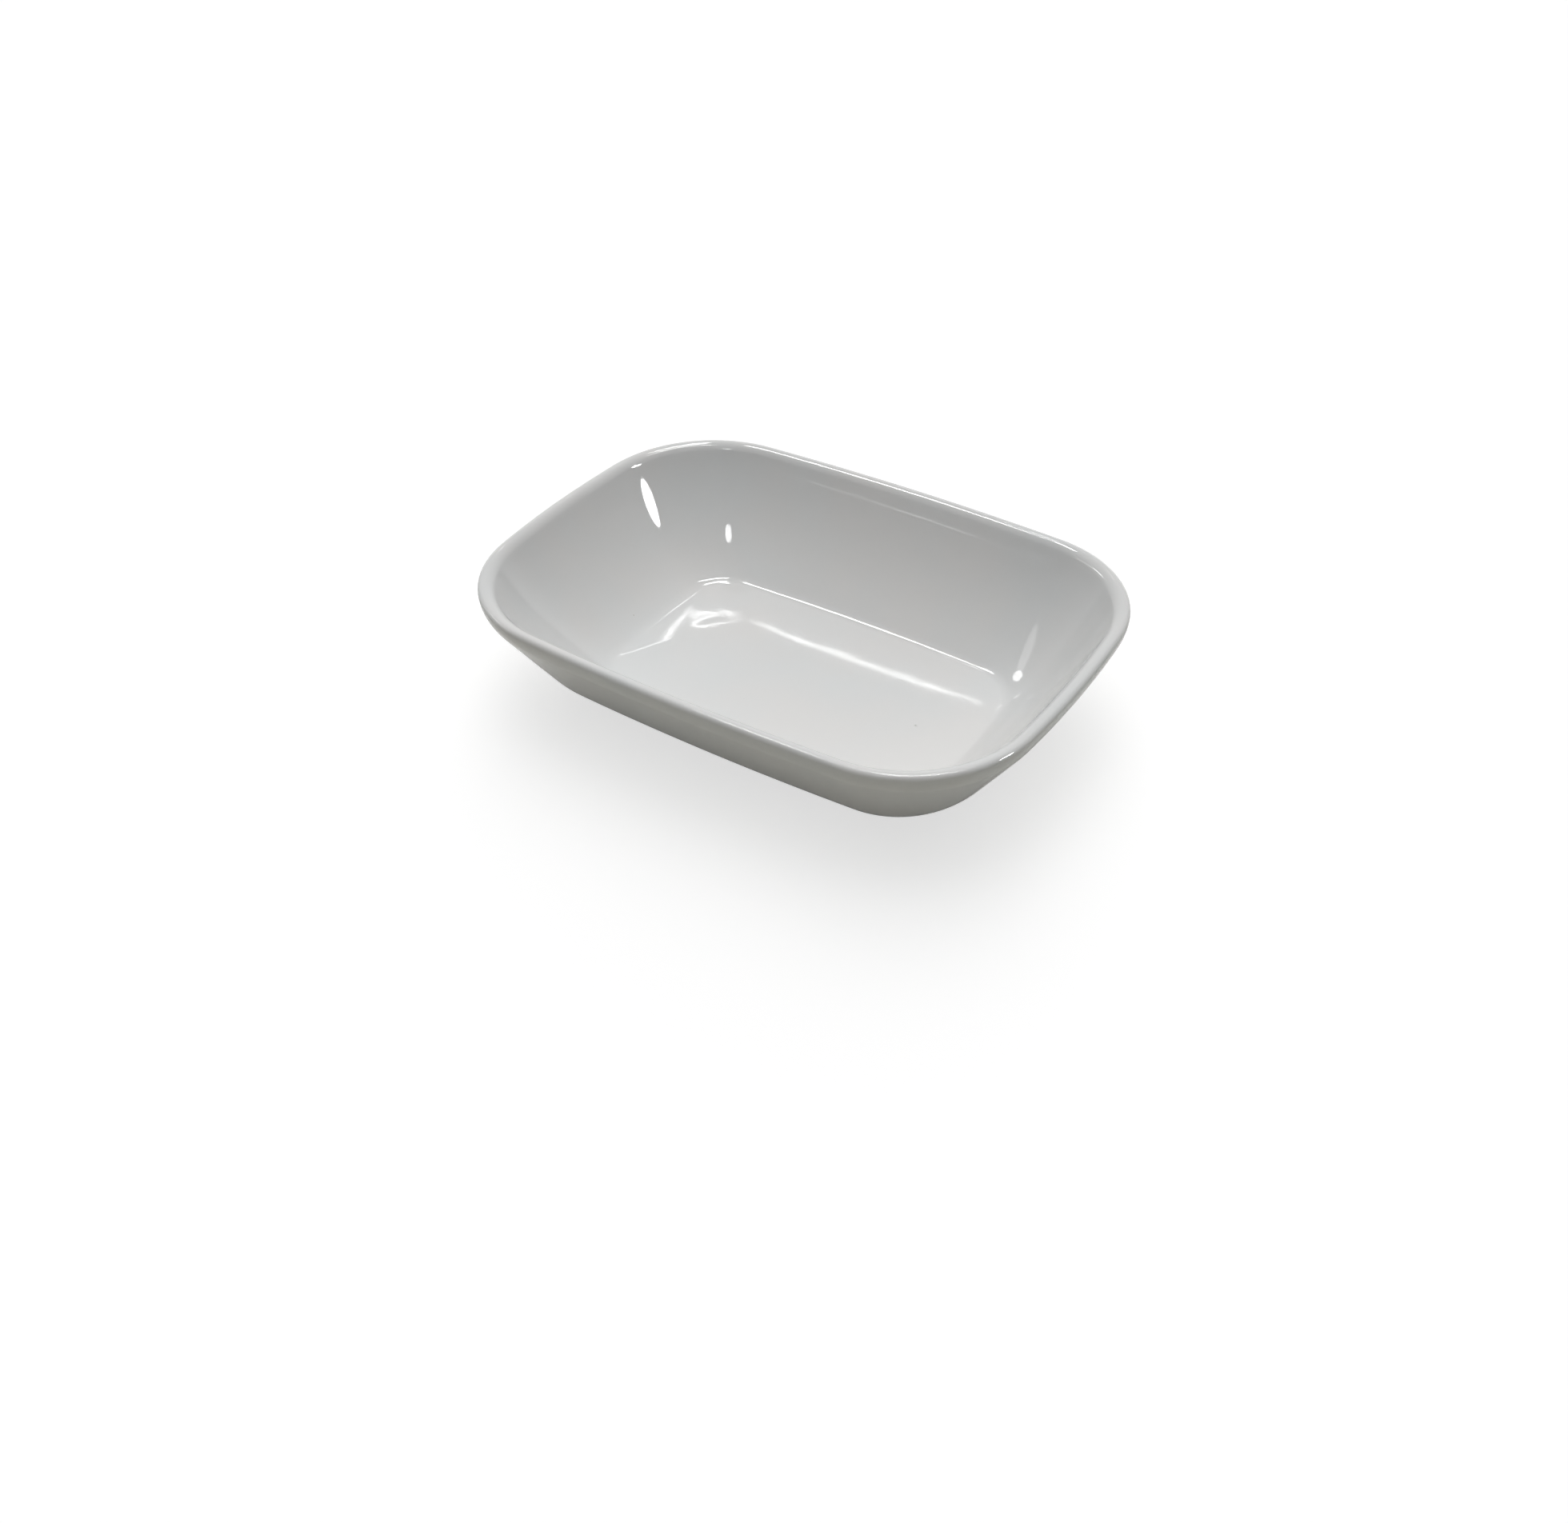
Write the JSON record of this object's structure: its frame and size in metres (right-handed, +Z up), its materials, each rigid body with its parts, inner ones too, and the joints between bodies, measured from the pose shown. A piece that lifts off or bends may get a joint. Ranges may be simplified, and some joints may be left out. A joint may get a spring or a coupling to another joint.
{
  "type": "oblong dish",
  "caption": "Small oblong white porcelain dish with rounded corners, flared walls, a thick rounded rim and a bare foot ring, for a side portion or condiment.",
  "frame": {"origin": "middle of the dish, on the plane that its foot ring stands on", "axes": "+X along the length, +Y across the width, +Z up out of the open top"},
  "size_m": [0.16, 0.114, 0.035],
  "materials": {
    "bare_porcelain": "unglazed fired porcelain, ground smooth at the foot",
    "white_glaze": "glossy white glaze, fused to the body"
  },
  "bodies": {
    "root": {"porcelain_body": "bare_porcelain", "glaze_coat": "white_glaze", "base_glaze": "white_glaze"}
  },
  "joints": []
}
